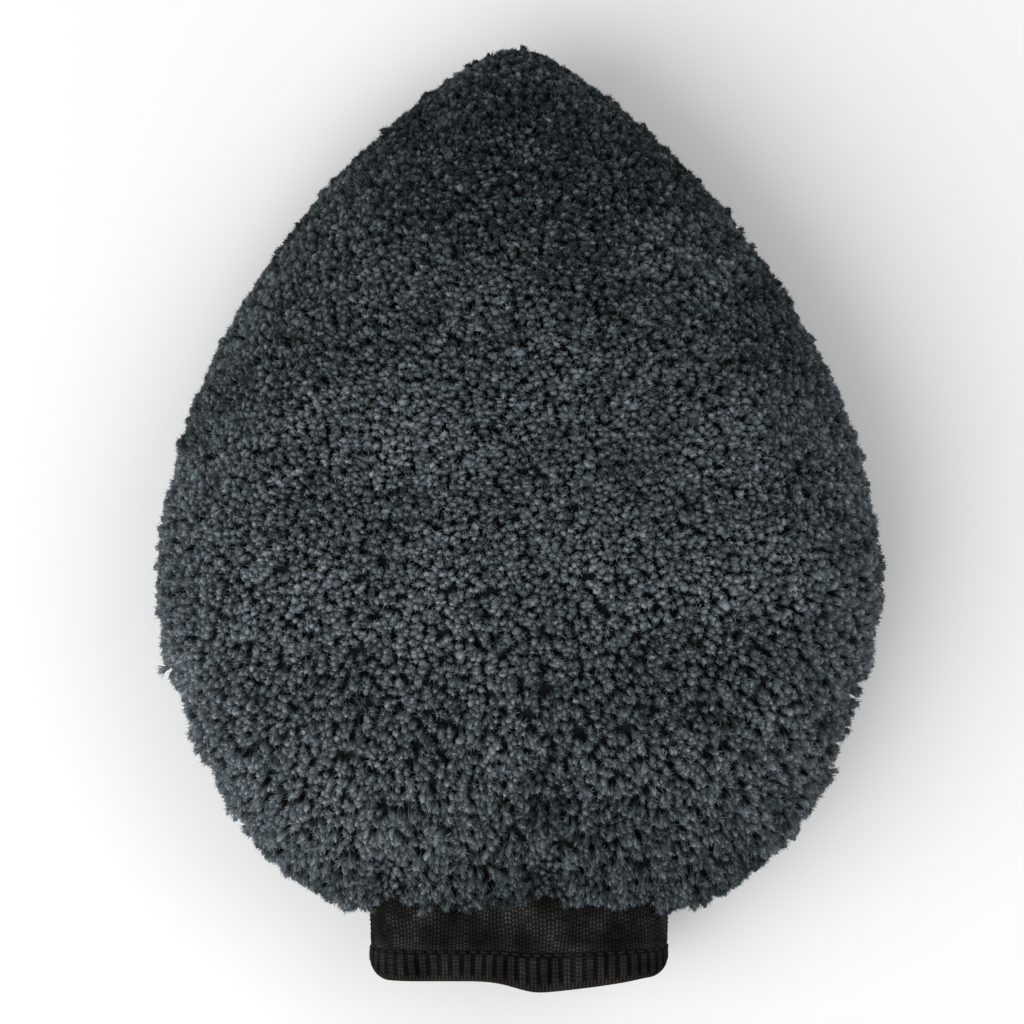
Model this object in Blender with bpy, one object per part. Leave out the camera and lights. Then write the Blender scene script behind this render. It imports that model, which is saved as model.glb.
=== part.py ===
"""A microfibre wash mitt with a rib-knit cuff, lying on its back with the palm up.

Metres. +Y runs from the cuff to the tip, +Z from the back to the palm. The origin is at the middle
of the footprint, on the surface that the mitt lies on.
"""
import math

import bmesh
import bpy
from mathutils import Vector

# ---- Driving dimensions -------------------------------------------------------------------------

LENGTH = 0.270                # tip to hem
HALF_WIDTH = 0.104            # middle to the widest point of the pile
CUFF_SHOWS = 0.0223           # cuff that stands out below the pile
WIDEST_FROM_TIP = 0.156
SEAM_HEIGHT = 0.033           # the plane where palm and back meet, above the floor
PALM_RISE = 0.045             # that plane to the crown of the palm
BACK_DROP = 0.038             # that plane to the crown of the back, which the floor presses flat

TIP_ROUNDING = 1.86           # higher is fuller beside the tip
TIP_POWER = 0.76              # lower is blunter
FOOT_ROUNDING = 1.15          # higher holds the width further towards the cuff
FOOT_POWER = 0.21             # lower is squarer beside the cuff
PILLOW_POWER = 2.2            # 2 is elliptical in section, higher is boxier

FIT_GAP = 0.0003              # between pieces that touch
PILE_DEPTH = 0.015            # tufts and their ground fabric
PADDING_DEPTH = 0.004
LINING_DEPTH = 0.0008
SEAM_ALLOWANCE = 0.0026       # turned-in edge of each pile panel
SEAM_EDGE = 0.001             # its thickness
PADDING_CLEAR_OF_SEAM = 0.0025

CUFF_WIDTH = 0.085
CUFF_THICKNESS = 0.026        # across the flattened tube
CUFF_PLY = 0.0015
HEM_DEPTH = 0.014             # how far the hem is turned up inside
ELASTIC_DEPTH = 0.010
ELASTIC_THICKNESS = 0.001
HEM_STITCH_FROM_EDGE = 0.0125
PADDING_CLEAR_OF_CUFF = 0.0025

THREAD_RADIUS = 0.00025
OVERLOCK_PITCH = 0.015
OVERLOCK_BITE = 0.0013        # from the root of the seam allowance to the stitch's outer row
OVERLOCK_ENDS_FROM_CUFF = 0.005
ZIGZAG_PITCH = 0.004
ZIGZAG_WIDTH = 0.0015

ROUND_STEPS = 48              # facets round the outline and round the cuff
RISE_STEPS = 16               # facets from the back's crown to the palm's

# ---- Sizes that follow from them ----------------------------------------------------------------

TIP_Y = LENGTH / 2
HEM_Y = -LENGTH / 2
FOOT_Y = HEM_Y + CUFF_SHOWS
WIDEST_Y = TIP_Y - WIDEST_FROM_TIP
PALM = 1
BACK = -1

PADDING_INSET = PILE_DEPTH + FIT_GAP
LINING_INSET = PADDING_INSET + PADDING_DEPTH + FIT_GAP
POCKET_INSET = LINING_INSET + LINING_DEPTH
ALLOWANCE_INSET = PILE_DEPTH + SEAM_ALLOWANCE
ALLOWANCE_TOP = FIT_GAP / 2 + SEAM_EDGE
THREAD_CLEARANCE = THREAD_RADIUS + FIT_GAP

CASING_INSET = CUFF_PLY
INNER_PLY_INSET = CASING_INSET + ELASTIC_THICKNESS + 2 * FIT_GAP
BORE_INSET = INNER_PLY_INSET + CUFF_PLY
CASING_Y = HEM_Y + CUFF_PLY
CUFF_TOP_Y = WIDEST_Y - PADDING_CLEAR_OF_CUFF     # before the tube is trimmed to the lining

COLLECTION = bpy.data.collections.new("Wash mitt")
CUTTERS = bpy.data.collections.new("Wash mitt cutters")


# ---- Outlines -----------------------------------------------------------------------------------

class Outline:
    """A closed convex outline round a middle point, with every outline parallel to it inside."""

    def __init__(self, points, middle):
        self.middle = Vector(middle)
        self.sides = []
        for start, end in zip(points, points[1:] + points[:1]):
            run = end - start
            if run.length > 1e-9:
                outward = Vector((run.y, -run.x)).normalized()
                self.sides.append((outward, outward.dot(start - self.middle)))

    def reach(self, angle, inset):
        """Distance from the middle to the parallel outline, in one direction."""
        ray = Vector((math.cos(angle), math.sin(angle)))
        reaches = []
        for outward, distance in self.sides:
            facing = outward.dot(ray)
            if facing > 1e-6:
                reaches.append((distance - inset) / facing)
        return min(reaches)

    def at(self, angle, inset):
        reach = self.reach(angle, inset)
        return self.middle + reach * Vector((math.cos(angle), math.sin(angle)))

    def spread(self, count, inset, first):
        """Angles of points spaced evenly along the parallel outline, from one direction round."""
        fine = 720
        angles = [first + 2 * math.pi * step / fine for step in range(fine + 1)]
        places = [self.at(angle, inset) for angle in angles]
        runs = [0.0]
        for start, end in zip(places, places[1:]):
            runs.append(runs[-1] + (end - start).length)
        spread = []
        step = 0
        for number in range(count):
            wanted = runs[-1] * number / count
            while runs[step + 1] < wanted:
                step += 1
            share = (wanted - runs[step]) / (runs[step + 1] - runs[step])
            spread.append(angles[step] + share * (angles[step + 1] - angles[step]))
        return spread

    def on_facet(self, angle, inset, corners):
        """The point in one direction on the flat facets between corners at the given angles."""
        ray = Vector((math.cos(angle), math.sin(angle)))
        places = [self.at(corner, inset) - self.middle for corner in corners]
        for start, end in zip(places, places[1:] + places[:1]):
            if start.cross(ray) >= -1e-9 and ray.cross(end) > 0 and start.dot(ray) > 0:
                outward = Vector((end.y - start.y, start.x - end.x))
                return self.middle + ray * (outward.dot(start) / outward.dot(ray))
        raise ValueError(f"no facet lies at {math.degrees(angle)} degrees")

    def length(self, inset):
        places = [self.at(math.radians(angle), inset) for angle in range(360)]
        return sum((end - start).length for start, end in zip(places, places[1:] + places[:1]))


def mitt_outline():
    """The pile's outline in the seam plane, anticlockwise from the tip."""
    steps = 60
    left = []
    for step in range(steps + 1):
        share = (1 - math.cos(math.pi * step / steps)) / 2
        half = HALF_WIDTH * (1 - (1 - share) ** TIP_ROUNDING) ** TIP_POWER
        left.append(Vector((-half, TIP_Y + share * (WIDEST_Y - TIP_Y))))
    for step in range(1, steps + 1):
        share = math.sin(math.pi / 2 * step / steps)
        half = HALF_WIDTH * max(1 - share ** FOOT_ROUNDING, 0.0) ** FOOT_POWER
        left.append(Vector((-half, WIDEST_Y + share * (FOOT_Y - WIDEST_Y))))
    right = [Vector((-point.x, point.y)) for point in reversed(left[1:-1])]
    return Outline(left + right, (0.0, WIDEST_Y))


def cuff_outline():
    """The flattened cuff in section: two half rounds joined by flat sides."""
    steps = 24
    radius = CUFF_THICKNESS / 2
    points = []
    for side in (1, -1):
        for step in range(steps + 1):
            angle = math.pi * (step / steps - 0.5)
            centre = side * (CUFF_WIDTH / 2 - radius)
            points.append(Vector((centre + side * radius * math.cos(angle), side * radius * math.sin(angle))))
    return Outline(points, (0.0, 0.0))


MITT = mitt_outline()
CUFF = cuff_outline()
MITT_ANGLES = MITT.spread(ROUND_STEPS, PILE_DEPTH / 2, math.pi / 2)
CUFF_ANGLES = CUFF.spread(ROUND_STEPS, 0.0, 0.0)


# ---- Building blocks ----------------------------------------------------------------------------

def new_object(name, mesh, collection):
    made = bpy.data.objects.new(name, mesh)
    collection.objects.link(made)
    if collection is CUTTERS:
        made.hide_render = True
        made.display_type = 'WIRE'
    return made


def from_bmesh(name, bm, collection):
    bmesh.ops.recalc_face_normals(bm, faces=bm.faces)
    if bm.calc_volume(signed=True) < 0:
        bmesh.ops.reverse_faces(bm, faces=bm.faces)
    mesh = bpy.data.meshes.new(name)
    bm.to_mesh(mesh)
    bm.free()
    return new_object(name, mesh, collection)


def crown_height(side, inset):
    return (PALM_RISE if side == PALM else BACK_DROP) - inset


def pillow_mesh(inset):
    """A sphere drawn out to the mitt's pillow shape, at one depth below the pile's surface."""
    bm = bmesh.new()
    bmesh.ops.create_uvsphere(bm, u_segments=ROUND_STEPS, v_segments=RISE_STEPS, radius=1.0)
    for vertex in bm.verts:
        ball = vertex.co.copy()
        turn = math.atan2(ball.y, ball.x) / (2 * math.pi)
        angle = MITT_ANGLES[round(turn * ROUND_STEPS) % ROUND_STEPS]
        spread = math.hypot(ball.x, ball.y) ** (2 / PILLOW_POWER)
        rise = abs(ball.z) ** (2 / PILLOW_POWER)
        side = PALM if ball.z > 0 else BACK
        level = MITT.middle + spread * (MITT.at(angle, inset) - MITT.middle)
        height = SEAM_HEIGHT + side * rise * crown_height(side, inset)
        vertex.co = (level.x, level.y, max(height, inset))
    return bm


def pillow(name, inset):
    return from_bmesh(name, pillow_mesh(inset), CUTTERS)


def half_pillow(name, inset, side, base, collection):
    """The palm or the back half of a pillow, closed by a flat base beside the seam plane."""
    bm = pillow_mesh(inset)
    plane = Vector((0, 0, SEAM_HEIGHT + side * base))
    everything = bm.verts[:] + bm.edges[:] + bm.faces[:]
    bmesh.ops.bisect_plane(bm, geom=everything, dist=1e-7, plane_co=plane,
                           plane_no=(0, 0, -side), clear_outer=True)
    rim = [edge for edge in bm.edges if edge.is_boundary]
    bmesh.ops.holes_fill(bm, edges=rim, sides=0)
    return from_bmesh(name, bm, collection)


def seam_slab(name, inset, low, high):
    """A flat slab with the mitt's outline, between two distances from the seam plane."""
    bm = bmesh.new()
    bmesh.ops.create_cone(bm, cap_ends=True, segments=ROUND_STEPS, radius1=1.0, radius2=1.0, depth=1.0)
    for vertex in bm.verts:
        turn = math.atan2(vertex.co.y, vertex.co.x) / (2 * math.pi)
        level = MITT.at(MITT_ANGLES[round(turn * ROUND_STEPS) % ROUND_STEPS], inset)
        height = high if vertex.co.z > 0 else low
        vertex.co = (level.x, level.y, SEAM_HEIGHT + height)
    return from_bmesh(name, bm, CUTTERS)


def cuff_slug(name, inset, near, far, collection):
    """A solid with the cuff's section, between two places along Y."""
    bm = bmesh.new()
    bmesh.ops.create_cone(bm, cap_ends=True, segments=ROUND_STEPS, radius1=1.0, radius2=1.0, depth=1.0)
    for vertex in bm.verts:
        turn = math.atan2(vertex.co.y, vertex.co.x) / (2 * math.pi)
        section = CUFF.at(CUFF_ANGLES[round(turn * ROUND_STEPS) % ROUND_STEPS], inset)
        along = far if vertex.co.z > 0 else near
        vertex.co = (section.x, along, SEAM_HEIGHT + section.y)
    return from_bmesh(name, bm, collection)


def combine(target, other, operation='DIFFERENCE'):
    modifier = target.modifiers.new(f"{operation.lower()} {other.name}", 'BOOLEAN')
    modifier.object = other
    modifier.operation = operation
    modifier.solver = 'EXACT'


def thread(name, points, cyclic):
    curve = bpy.data.curves.new(name, 'CURVE')
    curve.dimensions = '3D'
    curve.bevel_depth = THREAD_RADIUS
    curve.bevel_resolution = 2
    curve.use_fill_caps = True
    spline = curve.splines.new('POLY')
    spline.points.add(len(points) - 1)
    for place, point in zip(spline.points, points):
        place.co = (*point, 1.0)
    spline.use_cyclic_u = cyclic
    return new_object(name, curve, COLLECTION)


def finish(made, colour, roughness, sheen=0.0):
    """Give a piece its own material and soft shading."""
    material = bpy.data.materials.new(made.name)
    material.use_nodes = True
    shader = material.node_tree.nodes["Principled BSDF"]
    shader.inputs["Base Color"].default_value = (*colour, 1.0)
    shader.inputs["Roughness"].default_value = roughness
    shader.inputs["Metallic"].default_value = 0.0
    shader.inputs["Sheen Weight"].default_value = sheen
    made.data.materials.append(material)
    if made.type == 'MESH':
        made.data.shade_smooth()
        made.data.set_sharp_from_angle(angle=math.radians(40))


# ---- The body's layers --------------------------------------------------------------------------

def pile_panel(name, side, mouth, allowance_end):
    """One tufted panel: a deep shell with its seam allowance turned in along the seam plane."""
    panel = half_pillow(name, 0.0, side, FIT_GAP / 2, COLLECTION)
    combine(panel, half_pillow(f"{name} hollow", PILE_DEPTH, side, ALLOWANCE_TOP, CUTTERS))
    edges = sorted((side * FIT_GAP / 2 - side * SEAM_EDGE, side * (ALLOWANCE_TOP + SEAM_EDGE)))
    combine(panel, seam_slab(f"{name} seam allowance", ALLOWANCE_INSET, *edges))
    combine(panel, allowance_end)
    combine(panel, mouth)
    finish(panel, (0.036, 0.043, 0.05), 0.95, 0.4)


def padding_half(name, side, mouth):
    """One half of the wadding, stopping short of the seam and of the cuff."""
    half = half_pillow(name, PADDING_INSET, side, PADDING_CLEAR_OF_SEAM, COLLECTION)
    combine(half, pillow(f"{name} hollow", PADDING_INSET + PADDING_DEPTH))
    combine(half, mouth)
    finish(half, (0.72, 0.72, 0.7), 0.95)


def lining_half(name, side, mouth):
    """One half of the pocket's lining, open where the cuff comes in."""
    half = half_pillow(name, LINING_INSET, side, FIT_GAP / 2, COLLECTION)
    combine(half, pillow(f"{name} hollow", POCKET_INSET))
    combine(half, mouth)
    finish(half, (0.09, 0.1, 0.11), 0.8)


# ---- The cuff -----------------------------------------------------------------------------------

def groove_cutter():
    """A ring that sinks the hem's stitch line into the outer ply."""
    middle = HEM_Y + HEM_STITCH_FROM_EDGE
    floor = 2 * THREAD_RADIUS + FIT_GAP
    ring = cuff_slug("hem groove", -CUFF_PLY, middle - THREAD_CLEARANCE, middle + THREAD_CLEARANCE, CUTTERS)
    core = cuff_slug("hem groove core", floor, middle - CUFF_PLY, middle + CUFF_PLY, CUTTERS)
    combine(ring, core)
    return ring


def cuff_tube():
    """A knit tube whose hem is turned up inside, leaving a casing for the elastic."""
    tube = cuff_slug("cuff_knit_tube", 0.0, HEM_Y, CUFF_TOP_Y, COLLECTION)
    combine(tube, cuff_slug("cuff inside", CASING_INSET, CASING_Y, WIDEST_Y, CUTTERS))
    inner_ply = cuff_slug("turned hem", INNER_PLY_INSET, CASING_Y - CUFF_PLY / 2, HEM_Y + HEM_DEPTH, CUTTERS)
    combine(tube, inner_ply, 'UNION')
    combine(tube, cuff_slug("cuff bore", BORE_INSET, HEM_Y - CUFF_PLY, WIDEST_Y, CUTTERS))
    combine(tube, pillow("lining in the cuff's way", LINING_INSET - FIT_GAP))
    combine(tube, groove_cutter())
    finish(tube, (0.012, 0.011, 0.01), 0.9)


def elastic_band():
    near = CASING_Y + FIT_GAP
    far = near + ELASTIC_DEPTH
    band = cuff_slug("cuff_elastic_band", CASING_INSET + FIT_GAP, near, far, COLLECTION)
    inside = INNER_PLY_INSET - FIT_GAP
    combine(band, cuff_slug("elastic inside", inside, near - CUFF_PLY, far + CUFF_PLY, CUTTERS))
    finish(band, (0.6, 0.6, 0.58), 0.7)


# ---- Threads ------------------------------------------------------------------------------------

def hem_thread():
    points = []
    for angle in CUFF_ANGLES:
        section = CUFF.at(angle, THREAD_RADIUS)
        points.append((section.x, HEM_Y + HEM_STITCH_FROM_EDGE, SEAM_HEIGHT + section.y))
    finish(thread("cuff_hem_thread", points, True), (0.02, 0.019, 0.018), 0.7)


def overlock_thread():
    """Serpentine stitches that wrap both seam allowances, from one side of the cuff to the other."""
    outer = PILE_DEPTH + OVERLOCK_BITE
    inner = ALLOWANCE_INSET + THREAD_CLEARANCE
    height = ALLOWANCE_TOP + THREAD_CLEARANCE
    half_count = int(MITT.length(outer) / OVERLOCK_PITCH / 2)
    angles = MITT.spread(2 * half_count, outer, math.pi / 2)
    clear = CUFF_WIDTH / 2 + OVERLOCK_ENDS_FROM_CUFF
    kept = []
    for number in range(-half_count + 1, half_count):
        angle = angles[number % len(angles)]
        place = MITT.at(angle, inner)
        if place.y > WIDEST_Y or abs(place.x) > clear:
            kept.append(angle)
    points = []
    side = PALM
    for angle in kept:
        over = MITT.on_facet(angle, outer, MITT_ANGLES)
        round_edge = MITT.on_facet(angle, inner, MITT_ANGLES)
        for place, level in ((over, side), (round_edge, side), (round_edge, -side), (over, -side)):
            points.append((place.x, place.y, SEAM_HEIGHT + level * height))
        side = -side
    finish(thread("perimeter_seam_thread", points, False), (0.03, 0.033, 0.036), 0.7)


def pillow_front(x, rise, inset):
    """Where a line along Y meets the pillow's cuff end, found by halving."""
    side = PALM if rise > 0 else BACK
    near = FOOT_Y
    far = WIDEST_Y
    for _ in range(40):
        middle = (near + far) / 2
        offset = Vector((x, middle)) - MITT.middle
        reach = MITT.reach(math.atan2(offset.y, offset.x), inset)
        level = (offset.length / reach) ** PILLOW_POWER
        level += (abs(rise) / crown_height(side, inset)) ** PILLOW_POWER
        if level > 1:
            near = middle
        else:
            far = middle
    return far


def mouth_thread():
    """A zigzag round the cuff, between the pile's ground fabric and the lining."""
    count = 2 * int(CUFF.length(-THREAD_CLEARANCE) / ZIGZAG_PITCH / 2)
    middle = (PADDING_INSET + LINING_INSET) / 2
    insets = (middle - ZIGZAG_WIDTH / 2, middle + ZIGZAG_WIDTH / 2)
    points = []
    for number, angle in enumerate(CUFF.spread(count, -THREAD_CLEARANCE, 0.0)):
        section = CUFF.at(angle, -THREAD_CLEARANCE)
        along = pillow_front(section.x, section.y, insets[number % 2])
        points.append((section.x, along, SEAM_HEIGHT + section.y))
    finish(thread("mouth_seam_thread", points, True), (0.03, 0.033, 0.036), 0.7)


# ---- The mitt -----------------------------------------------------------------------------------

def build():
    for old in list(bpy.data.objects):
        bpy.data.objects.remove(old)
    bpy.context.scene.collection.children.link(COLLECTION)
    bpy.context.scene.collection.children.link(CUTTERS)

    outside = HEM_Y - CUFF_SHOWS
    pile_mouth = cuff_slug("mouth in the pile", -FIT_GAP, outside, WIDEST_Y, CUTTERS)
    padding_mouth = cuff_slug("mouth in the padding", -PADDING_CLEAR_OF_CUFF, outside, WIDEST_Y, CUTTERS)
    lining_mouth = cuff_slug("mouth in the lining", CUFF_PLY, outside, WIDEST_Y, CUTTERS)
    allowance_end = cuff_slug("end of the seam allowance", -PADDING_CLEAR_OF_CUFF, outside, WIDEST_Y, CUTTERS)
    combine(allowance_end, pillow("inside of the pile", PADDING_INSET), 'INTERSECT')
    for side_name, side in (("palm", PALM), ("back", BACK)):
        pile_panel(f"{side_name}_pile_panel", side, pile_mouth, allowance_end)
        padding_half(f"{side_name}_padding", side, padding_mouth)
        lining_half(f"{side_name}_lining", side, lining_mouth)
    cuff_tube()
    elastic_band()
    hem_thread()
    overlock_thread()
    mouth_thread()


build()
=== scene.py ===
"""The looks of the wash mitt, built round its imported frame. Metres, in the frame's own axes."""
import math

import bpy
import numpy as np
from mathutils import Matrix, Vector, kdtree


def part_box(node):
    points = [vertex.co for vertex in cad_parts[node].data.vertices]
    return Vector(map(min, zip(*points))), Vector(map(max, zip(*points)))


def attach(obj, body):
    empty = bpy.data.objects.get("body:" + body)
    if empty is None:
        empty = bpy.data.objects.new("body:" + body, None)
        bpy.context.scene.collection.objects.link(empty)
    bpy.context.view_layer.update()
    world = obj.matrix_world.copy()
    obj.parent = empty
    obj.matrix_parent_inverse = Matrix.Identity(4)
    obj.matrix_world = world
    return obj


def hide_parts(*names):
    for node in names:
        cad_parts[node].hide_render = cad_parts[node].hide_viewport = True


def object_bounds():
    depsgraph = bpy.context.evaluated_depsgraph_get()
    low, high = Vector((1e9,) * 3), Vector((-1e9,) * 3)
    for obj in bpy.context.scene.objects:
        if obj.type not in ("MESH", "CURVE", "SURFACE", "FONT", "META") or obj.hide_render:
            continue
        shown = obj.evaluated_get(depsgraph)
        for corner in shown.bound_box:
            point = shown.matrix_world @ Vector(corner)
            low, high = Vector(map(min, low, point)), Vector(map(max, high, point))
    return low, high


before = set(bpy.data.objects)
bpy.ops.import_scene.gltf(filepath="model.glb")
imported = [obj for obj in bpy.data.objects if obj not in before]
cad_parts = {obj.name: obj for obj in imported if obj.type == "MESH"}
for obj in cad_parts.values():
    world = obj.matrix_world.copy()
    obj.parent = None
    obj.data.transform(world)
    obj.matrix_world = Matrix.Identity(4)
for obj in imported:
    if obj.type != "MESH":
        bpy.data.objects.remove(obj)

# ---- Places taken from the frame ----------------------------------------------------------------

CAD_LOW, CAD_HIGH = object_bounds()
PALM_LOW, PALM_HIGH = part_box("palm_pile_panel")
BACK_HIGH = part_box("back_pile_panel")[1]
CUFF_LOW, CUFF_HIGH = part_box("cuff_knit_tube")
HEM_THREAD_LOW, HEM_THREAD_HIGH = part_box("cuff_hem_thread")
BAND_LOW, BAND_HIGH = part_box("cuff_elastic_band")

FLOOR_Z = CAD_LOW.z
SEAM_Z = (PALM_LOW.z + BACK_HIGH.z) / 2
TIP_Y = PALM_HIGH.y
FOOT_Y = PALM_LOW.y
HEM_Y = CUFF_LOW.y
HALF_WIDTH = PALM_HIGH.x
CROWN_Z = PALM_HIGH.z

# ---- The mitt's form ----------------------------------------------------------------------------

REACH = 0.0135                 # core shape to the tufts' ends
FOOT_REACH = 0.0137            # the same at the cuff end, where the pile hangs
SKIN_OFFSET = 0.0080           # core shape to the knitted ground fabric
PADDING_INSET = 0.0173         # tufts' ends to the middle of the wadding
PADDING_DEPTH = 0.0038
LINING_INSET = 0.0198          # tufts' ends to the pocket's lining
LINING_DEPTH = 0.0005
# The outline: how far below the tip it is widest, and how the tip rounds off.
WIDEST_FROM_TIP = 0.160
TIP_ROUNDING = 2.01
TIP_POWER = 0.855
# From the widest place to the foot: share of the way down, and share of the width.
FOOT_PROFILE = ((0.0, 1.0), (0.20, 0.975), (0.385, 0.915), (0.53, 0.862), (0.68, 0.797), (0.76, 0.748),
                (0.828, 0.690), (0.917, 0.615), (0.976, 0.540), (1.0, 0.440))
TIP_SWAY = 0.0013              # the tip lies a little to one side
PILLOW_POWER = 2.2
BACK_DEPTH = 0.038 - REACH     # before the floor presses it flat
SKIN_CLEAR_OF_FLOOR = 0.0045

CUFF_ROUND = (CUFF_HIGH.z - CUFF_LOW.z) / 2     # radius of the flattened tube's two sides
CUFF_FLAT = CUFF_HIGH.x - CUFF_ROUND            # middle to the start of those sides
CUFF_GIRTH = 4 * CUFF_FLAT + 2 * math.pi * CUFF_ROUND
CUFF_SHORTER = 0.016           # the visible tube's inner end, short of the CAD tube's
STITCH_LOWER = 0.0012          # the visible stitch line, below the CAD thread
BAND_NARROWER = 0.0020         # the visible elastic than the CAD band, as the edge is wavy
CUFF_TOP_Y = CUFF_HIGH.y - CUFF_SHORTER
STITCH_ABOVE_HEM = (HEM_THREAD_LOW.y + HEM_THREAD_HIGH.y) / 2 - HEM_Y - STITCH_LOWER
BAND_ABOVE_HEM = BAND_LOW.y - HEM_Y
BAND_DEPTH = BAND_HIGH.y - BAND_LOW.y - BAND_NARROWER
BAND_INSET = CUFF_HIGH.x - BAND_HIGH.x
BAND_THICKNESS = 0.0010
CUFF_WALL = 0.0016
HEM_WALL = 0.0046              # two plies with the elastic between them

GRAZING = 0.05                 # least cosine between a ray and a face of the outline that it may meet
POLE_START = 0.012             # angle from the tip at which the first ring lies
POLE_END = 0.462               # angle short of the far pole at which the last ring lies
MOUTH_FROM, MOUTH_OVER = 0.87, 0.13     # share of the rows: where the form starts to turn into the cuff

rng = np.random.default_rng(7)


class Outline:
    """A convex outline known by its distance from the middle in every bearing."""

    def __init__(self, middle):
        self.middle = np.array(middle)
        self.bearings = np.linspace(0, 2 * math.pi, 720, endpoint=False)
        self.outward = np.stack([np.cos(self.bearings), np.sin(self.bearings)])

    def support_of(self, half, along):
        """How far two mirrored edges reach in each bearing."""
        points = np.concatenate([np.stack([half, along], 1), np.stack([-half, along], 1)])
        return ((points - self.middle) @ self.outward).max(axis=0)

    def reach(self, angles, offset):
        """Distance from the middle to the outline grown by an offset."""
        fine = np.linspace(-math.pi, math.pi, 1441)
        facing = np.cos(fine[:, None] - self.bearings[None])
        along = np.where(facing > GRAZING, (self.support + offset) / np.maximum(facing, GRAZING), np.inf)
        return np.interp((angles + math.pi) % (2 * math.pi) - math.pi, fine, along.min(axis=1))


def core_outline():
    """The core shape in the seam plane: a leaf, blunt at the tip and square at the cuff."""
    tip = TIP_Y - REACH
    widest = TIP_Y - WIDEST_FROM_TIP
    share = np.linspace(0, 1, 300)
    core = Outline((0.0, widest))
    upper = core.support_of((HALF_WIDTH - REACH) * (1 - (1 - share) ** TIP_ROUNDING) ** TIP_POWER,
                            tip + (widest - tip) * share)
    lower = core.support_of(HALF_WIDTH * np.interp(share, *zip(*FOOT_PROFILE)),
                            widest + (FOOT_Y - widest) * share)
    lower -= REACH + (FOOT_REACH - REACH) * np.abs(core.outward[1])
    core.support = np.where(core.outward[1] >= 0, upper, lower)
    return core


CORE = core_outline()


def pillow(turn, rise, offset):
    """Points on the mitt's pillow form, grown outward from its core by an offset."""
    reach = CORE.reach(turn, offset)
    spread = reach * np.cos(rise) ** (2 / PILLOW_POWER)
    lift = np.abs(np.sin(rise)) ** (2 / PILLOW_POWER)
    palm = SEAM_Z + (CROWN_Z - SEAM_Z - REACH + offset) * lift
    back = np.maximum(SEAM_Z - (BACK_DEPTH + offset) * lift, FLOOR_Z + SKIN_CLEAR_OF_FLOOR)
    north = CORE.middle[1] + spread * np.sin(turn)
    sway = TIP_SWAY * np.clip((north - CORE.middle[1]) / (TIP_Y - CORE.middle[1]), 0, 1) ** 1.5
    return np.stack([CORE.middle[0] + spread * np.cos(turn) - sway, north,
                     np.where(rise > 0, palm, back)], axis=-1)


def section(share, inset):
    """Across, up and the outward normal round the flattened cuff, by share of the way from its +X side."""
    turn = np.linspace(-math.pi / 2, math.pi / 2, 65)
    normal = np.stack([np.cos(turn), np.sin(turn)], axis=1)
    side = normal * (CUFF_ROUND - inset) + [CUFF_FLAT, 0]
    ring = np.concatenate([side[32:], -side, side[:33]])
    normals = np.concatenate([normal[32:], -normal, normal[:33]])
    gone = np.concatenate([[0], np.cumsum(np.hypot(*np.diff(ring, axis=0).T))])
    here = (share % 1) * gone[-1]
    return [np.interp(here, gone, values) for values in (*ring.T, *normals.T)]


def smooth(value):
    """The same value, eased in at 0 and out at 1."""
    value = np.clip(value, 0, 1)
    return value * value * (3 - 2 * value)


def sock(rows, columns, offset, mouth_y, mouth_inset):
    """Rings of points from the tip to the cuff, on the pillow form grown by an offset."""
    fall = np.linspace(0, 1, rows)
    polar, around = np.meshgrid(POLE_START + (math.pi - POLE_END) * fall,
                                2 * math.pi * np.arange(columns) / columns, indexing="ij")
    east, north, up = np.sin(polar) * np.cos(around), np.cos(polar), np.sin(polar) * np.sin(around)
    form = pillow(np.arctan2(north, east), np.arcsin(np.clip(up, -1, 1)), offset)
    across, above, _, _ = section(np.arange(columns) / columns, mouth_inset)
    mouth = np.stack([across, np.full(columns, mouth_y), SEAM_Z + above], axis=-1)
    share = smooth((fall - MOUTH_FROM) / MOUTH_OVER)[:, None, None]
    return form * (1 - share) + mouth[None] * share


# ---- Mesh helpers -------------------------------------------------------------------------------

BAKED_UV = "OFBake"            # u is a place's tone, v is its height or how open to the light it is; v sets painted shade in the colour


def mesh_object(name, points, corners, sizes, uv=None, rounded=True):
    """An object from arrays: points, the point of each face corner, and each face's corner count."""
    mesh = bpy.data.meshes.new(name)
    mesh.vertices.add(len(points))
    mesh.vertices.foreach_set("co", np.ascontiguousarray(points, np.float32).ravel())
    mesh.loops.add(len(corners))
    mesh.loops.foreach_set("vertex_index", corners.astype(np.int32))
    mesh.polygons.add(len(sizes))
    starts = np.concatenate([[0], np.cumsum(sizes)[:-1]]).astype(np.int32)
    mesh.polygons.foreach_set("loop_start", starts)
    mesh.polygons.foreach_set("use_smooth", np.broadcast_to(rounded, len(sizes)).astype(bool))
    if uv is not None:
        layer = mesh.uv_layers.new(name=BAKED_UV)
        layer.uv.foreach_set("vector", np.ascontiguousarray(uv[corners], np.float32).ravel())
    mesh.update(calc_edges=True)
    mesh.validate()
    made = bpy.data.objects.new(name, mesh)
    bpy.context.scene.collection.objects.link(made)
    return made


def grid_faces(rows, columns, closed):
    """Corners of the quads of a grid of points, closed round its columns where asked."""
    last = columns if closed else columns - 1
    row, column = np.meshgrid(np.arange(rows - 1), np.arange(last), indexing="ij")
    following = (column + 1) % columns
    quads = np.stack([row * columns + column, row * columns + following,
                      (row + 1) * columns + following, (row + 1) * columns + column], axis=-1)
    return quads.reshape(-1, 4)


def shell(name, points, quads, thickness, inward=-1.0):
    """A closed thin shell made from an open surface."""
    made = mesh_object(name, points, quads.ravel(), np.full(len(quads), 4))
    solid = made.modifiers.new("thickness", "SOLIDIFY")
    solid.thickness = thickness
    solid.offset = inward
    solid.use_even_offset = False
    mesh = bpy.data.meshes.new_from_object(made.evaluated_get(bpy.context.evaluated_depsgraph_get()))
    made.modifiers.clear()
    made.data = mesh
    mesh.name = name
    return made


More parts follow.
